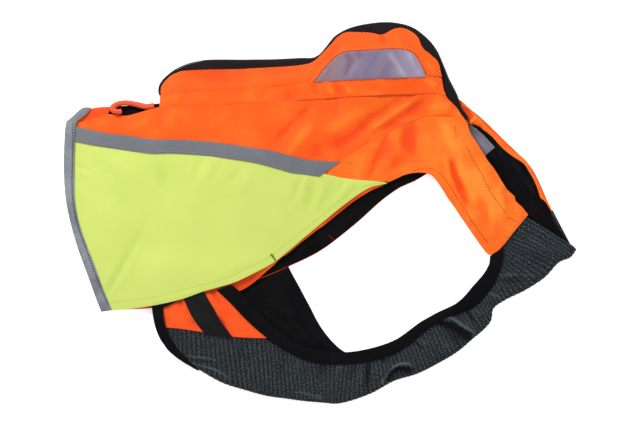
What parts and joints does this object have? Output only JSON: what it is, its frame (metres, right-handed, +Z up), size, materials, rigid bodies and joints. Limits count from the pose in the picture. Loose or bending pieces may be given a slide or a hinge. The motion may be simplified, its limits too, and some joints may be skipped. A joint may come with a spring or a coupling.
{
  "type": "dog protective vest",
  "caption": "Dog protective vest lying flat on its side: two-colour panels with a reflective strip, spine zip gusset, see-through hump window, bound armhole and knit belly.",
  "frame": {"origin": "on the surface that the vest lies on, under the middle of its outline", "axes": "+X from the tail to the chest, +Y from the belly to the spine, +Z up from the surface"},
  "size_m": [0.6405, 0.4785, 0.0198],
  "materials": {
    "orange_ripstop": "matt diamond ripstop",
    "yellow_cloth": "matt plain weave",
    "reflective_grey": "satin reflective tape",
    "black_tape": "matt woven tape",
    "black_lining": "smooth lining",
    "charcoal_knit": "ribbed marl knit",
    "window_film": "fine mesh with a sheen",
    "zip_teeth": "fine coil zip",
    "cord_orange": "braided cord",
    "label_lilac": "woven satin label"
  },
  "bodies": {
    "root": {"near_side_panel": "orange_ripstop", "near_yoke": "orange_ripstop", "near_fin": "orange_ripstop", "near_shoulder_panel": "orange_ripstop", "near_wing": "orange_ripstop", "tail_bridge": "orange_ripstop", "near_window": "window_film", "near_flap": "yellow_cloth", "near_reflective_strip": "reflective_grey", "near_hem_binding": "reflective_grey", "near_strap": "black_tape", "near_armhole_binding": "black_tape", "belly_rear_binding": "black_tape", "spine_gusset": "black_tape", "spine_zip_chain": "zip_teeth", "belly_knit": "charcoal_knit", "far_side_panel": "orange_ripstop", "far_shoulder_panel": "orange_ripstop", "far_yoke": "orange_ripstop", "far_wing": "orange_ripstop", "far_neck_rim": "orange_ripstop", "far_flap": "yellow_cloth", "far_hem_binding": "reflective_grey", "far_armhole_binding": "black_tape", "far_side_lining": "black_lining", "far_shoulder_lining": "black_lining", "far_wing_lining": "black_lining", "neck_label": "label_lilac", "cord_loop": "cord_orange"}
  },
  "joints": []
}
